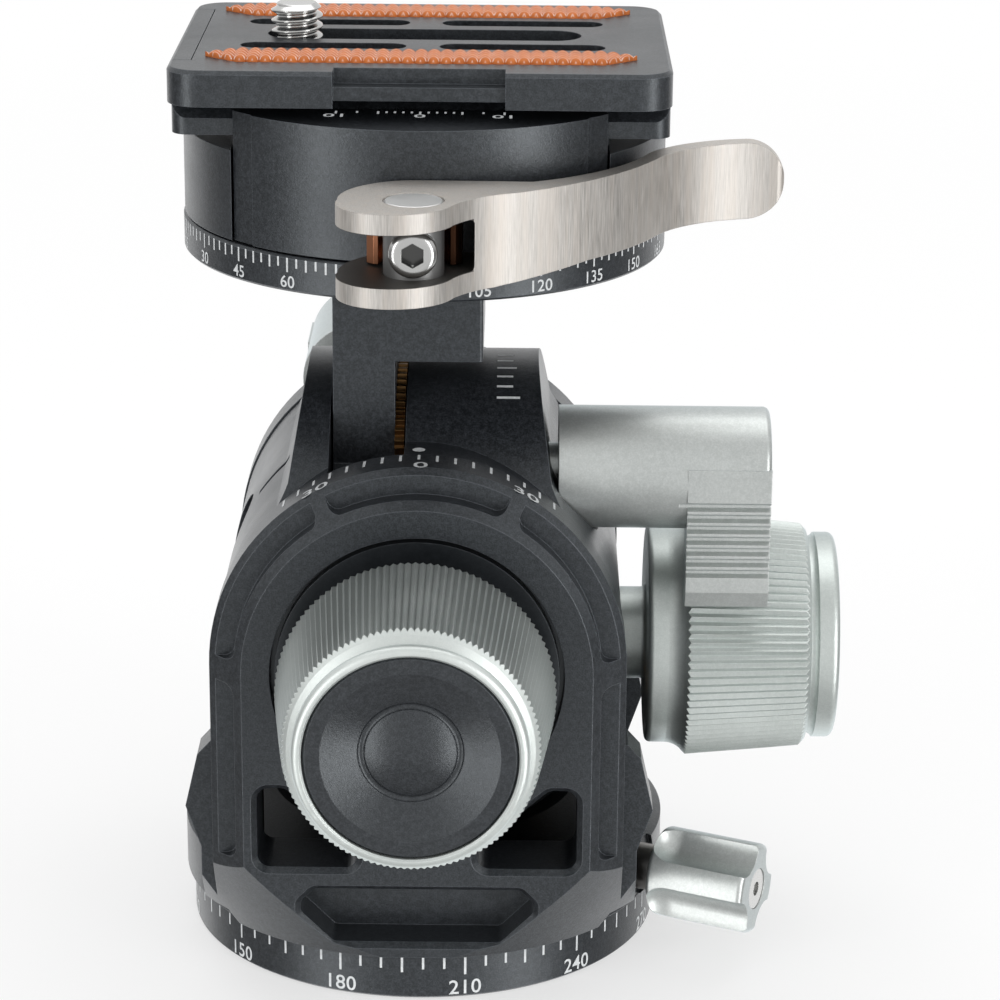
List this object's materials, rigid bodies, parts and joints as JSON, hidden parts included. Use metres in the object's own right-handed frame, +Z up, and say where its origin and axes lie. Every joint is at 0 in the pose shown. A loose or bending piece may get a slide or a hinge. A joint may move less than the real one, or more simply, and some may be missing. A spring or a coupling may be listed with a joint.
{
  "type": "geared tripod head",
  "caption": "Compact geared tripod head: panning base, arched yoke, roll and pitch stages driven by knurled knobs with release levers, panning quick-release clamp and camera plate.",
  "frame": {"origin": "centre of the tripod thread's mouth in the base's underside", "axes": "+Z up along the pan axis, -Y towards the roll knob, +X towards the pitch knob"},
  "size_m": [0.0848, 0.1088, 0.121],
  "materials": {
    "black_anodised": "fine bead-blasted black anodised aluminium, bevels slightly brighter",
    "black_satin": "smoother black anodised aluminium on turned faces",
    "cap_black": "fine-grained matt black cap",
    "knob_grey": "grey-green bead-blasted anodised aluminium",
    "lever_grey": "fine bead-blasted silver anodised aluminium",
    "brushed_lever": "stainless steel with a vertical brushed grain",
    "bright_steel": "polished steel",
    "dark_steel": "turned steel",
    "brass": "machined brass",
    "copper": "copper-coloured bronze bearing plate",
    "orange_rubber": "orange rubber strip with a fine woven relief",
    "washer_polymer": "slippery polymer washer"
  },
  "bodies": {
    "base": {"base_ring": "black_anodised", "base_screws": "dark_steel", "tripod_bush": "dark_steel", "pan_spindle": "black_satin", "pan_retainer": "dark_steel", "retainer_screws": "dark_steel", "thrust_washer": "washer_polymer"},
    "yoke": {"yoke_frame": "black_anodised", "front_bushing": "black_satin", "roll_ring_gear": "brass", "rear_bushing": "brass", "rear_cap": "black_anodised", "rear_cap_screws": "dark_steel"},
    "pan_lock": {"pan_lock_screw": "dark_steel", "pan_lock_knob": "lever_grey", "pan_lock_cap_screw": "bright_steel"},
    "roll_stage": {"roll_body": "black_anodised", "planet_pins": "dark_steel", "pitch_axle": "dark_steel", "axle_plug": "black_satin", "pitch_bushing": "brass"},
    "roll_drive": {"roll_knob": "knob_grey", "roll_knob_cap": "cap_black", "roll_sun_pinion": "dark_steel"},
    "planet_1": {"planet_gear_1": "dark_steel"},
    "planet_2": {"planet_gear_2": "dark_steel"},
    "planet_3": {"planet_gear_3": "dark_steel"},
    "pitch_stage": {"pitch_arm": "black_anodised", "arm_screws": "dark_steel", "pitch_gear": "brass", "top_scale_ring": "black_anodised", "top_spindle": "dark_steel"},
    "pitch_drive": {"pitch_knob": "knob_grey", "pitch_knob_cap": "cap_black", "pitch_pinion": "dark_steel"},
    "pitch_release": {"pitch_lever": "lever_grey"},
    "roll_release": {"roll_lever": "lever_grey"},
    "clamp": {"clamp_body": "black_anodised", "guide_pins": "dark_steel", "cam_barrel": "bright_steel", "draw_bolt": "bright_steel"},
    "jaw": {"clamp_jaw": "black_anodised", "cam_saddle": "copper"},
    "cam_lever": {"clamp_lever": "brushed_lever"},
    "plate": {"qr_plate": "black_anodised", "plate_end_stop": "black_anodised", "plate_pad_front": "orange_rubber", "plate_pad_rear": "orange_rubber"},
    "screw_carrier": {"screw_retainer": "dark_steel"},
    "screw": {"camera_screw": "bright_steel"}
  },
  "joints": [
    {"name": "pan_turn", "type": "hinge", "parent": "base", "child": "yoke", "pos_m": [0, 0, 0.0063], "axis": [0, 0, 1], "continuous": true},
    {"name": "pan_lock_turn", "type": "hinge", "parent": "yoke", "child": "pan_lock", "pos_m": [0.03118, -0.01454, 0.0108], "axis": [0.9063, -0.4226, 0], "range_deg": [0, 180]},
    {"name": "roll_tilt", "type": "hinge", "parent": "yoke", "child": "roll_stage", "pos_m": [0, 0, 0.0439], "axis": [0, 1, 0], "range_deg": [-30, 12]},
    {"name": "roll_knob_turn", "type": "hinge", "parent": "yoke", "child": "roll_drive", "pos_m": [0, -0.04, 0.0439], "axis": [0, 1, 0], "range_deg": [-180, 72]},
    {"name": "pitch_tilt", "type": "hinge", "parent": "roll_stage", "child": "pitch_stage", "pos_m": [-0.007, 0, 0.0501], "axis": [1, 0, 0], "range_deg": [-25, 20]},
    {"name": "pitch_knob_turn", "type": "hinge", "parent": "roll_stage", "child": "pitch_drive", "pos_m": [0.04, 0, 0.0381], "axis": [1, 0, 0], "range_deg": [-125, 100]},
    {"name": "pitch_lever_turn", "type": "hinge", "parent": "roll_stage", "child": "pitch_release", "pos_m": [0.03, -0.0098, 0.0641], "axis": [1, 0, 0], "range_deg": [-60, 0]},
    {"name": "roll_lever_turn", "type": "hinge", "parent": "yoke", "child": "roll_release", "pos_m": [-0.0098, 0.04, 0.0633], "axis": [0, 1, 0], "range_deg": [0, 60]},
    {"name": "top_pan_turn", "type": "hinge", "parent": "pitch_stage", "child": "clamp", "pos_m": [0, 0, 0.0954], "axis": [0, 0, 1], "continuous": true},
    {"name": "jaw_slide", "type": "slide", "parent": "clamp", "child": "jaw", "axis": [0, -1, 0], "range_m": [0, 0.00109]},
    {"name": "clamp_lever_turn", "type": "hinge", "parent": "clamp", "child": "cam_lever", "pos_m": [-0.00015, -0.0402, 0.10005], "axis": [0, 0, 1], "range_deg": [-95, 0]},
    {"name": "plate_slide", "type": "slide", "parent": "clamp", "child": "plate", "axis": [1, 0, 0], "range_m": [-0.01, 0.01]},
    {"name": "screw_slide", "type": "slide", "parent": "plate", "child": "screw_carrier", "axis": [1, 0, 0], "range_m": [0, 0.0314]},
    {"name": "screw_turn", "type": "hinge", "parent": "screw_carrier", "child": "screw", "pos_m": [-0.0157, -0.0016, 0.115], "axis": [0, 0, 1], "continuous": true},
    {"name": "planet_1_turn", "type": "hinge", "parent": "roll_stage", "child": "planet_1", "pos_m": [0, -0.0268, 0.0529], "axis": [0, 1, 0], "range_deg": [-30, 75]},
    {"name": "planet_2_turn", "type": "hinge", "parent": "roll_stage", "child": "planet_2", "pos_m": [-0.00779, -0.0268, 0.0394], "axis": [0, 1, 0], "range_deg": [-30, 75]},
    {"name": "planet_3_turn", "type": "hinge", "parent": "roll_stage", "child": "planet_3", "pos_m": [0.00779, -0.0268, 0.0394], "axis": [0, 1, 0], "range_deg": [-30, 75]}
  ],
  "couplings": [
    {"joint": "roll_knob_turn", "follows": "roll_tilt", "ratio": 6},
    {"joint": "pitch_knob_turn", "follows": "pitch_tilt", "ratio": 5},
    {"joint": "clamp_lever_turn", "follows": "jaw_slide", "rad_per_m": -1520},
    {"joint": "planet_1_turn", "follows": "roll_tilt", "ratio": -2.5},
    {"joint": "planet_2_turn", "follows": "roll_tilt", "ratio": -2.5},
    {"joint": "planet_3_turn", "follows": "roll_tilt", "ratio": -2.5}
  ]
}
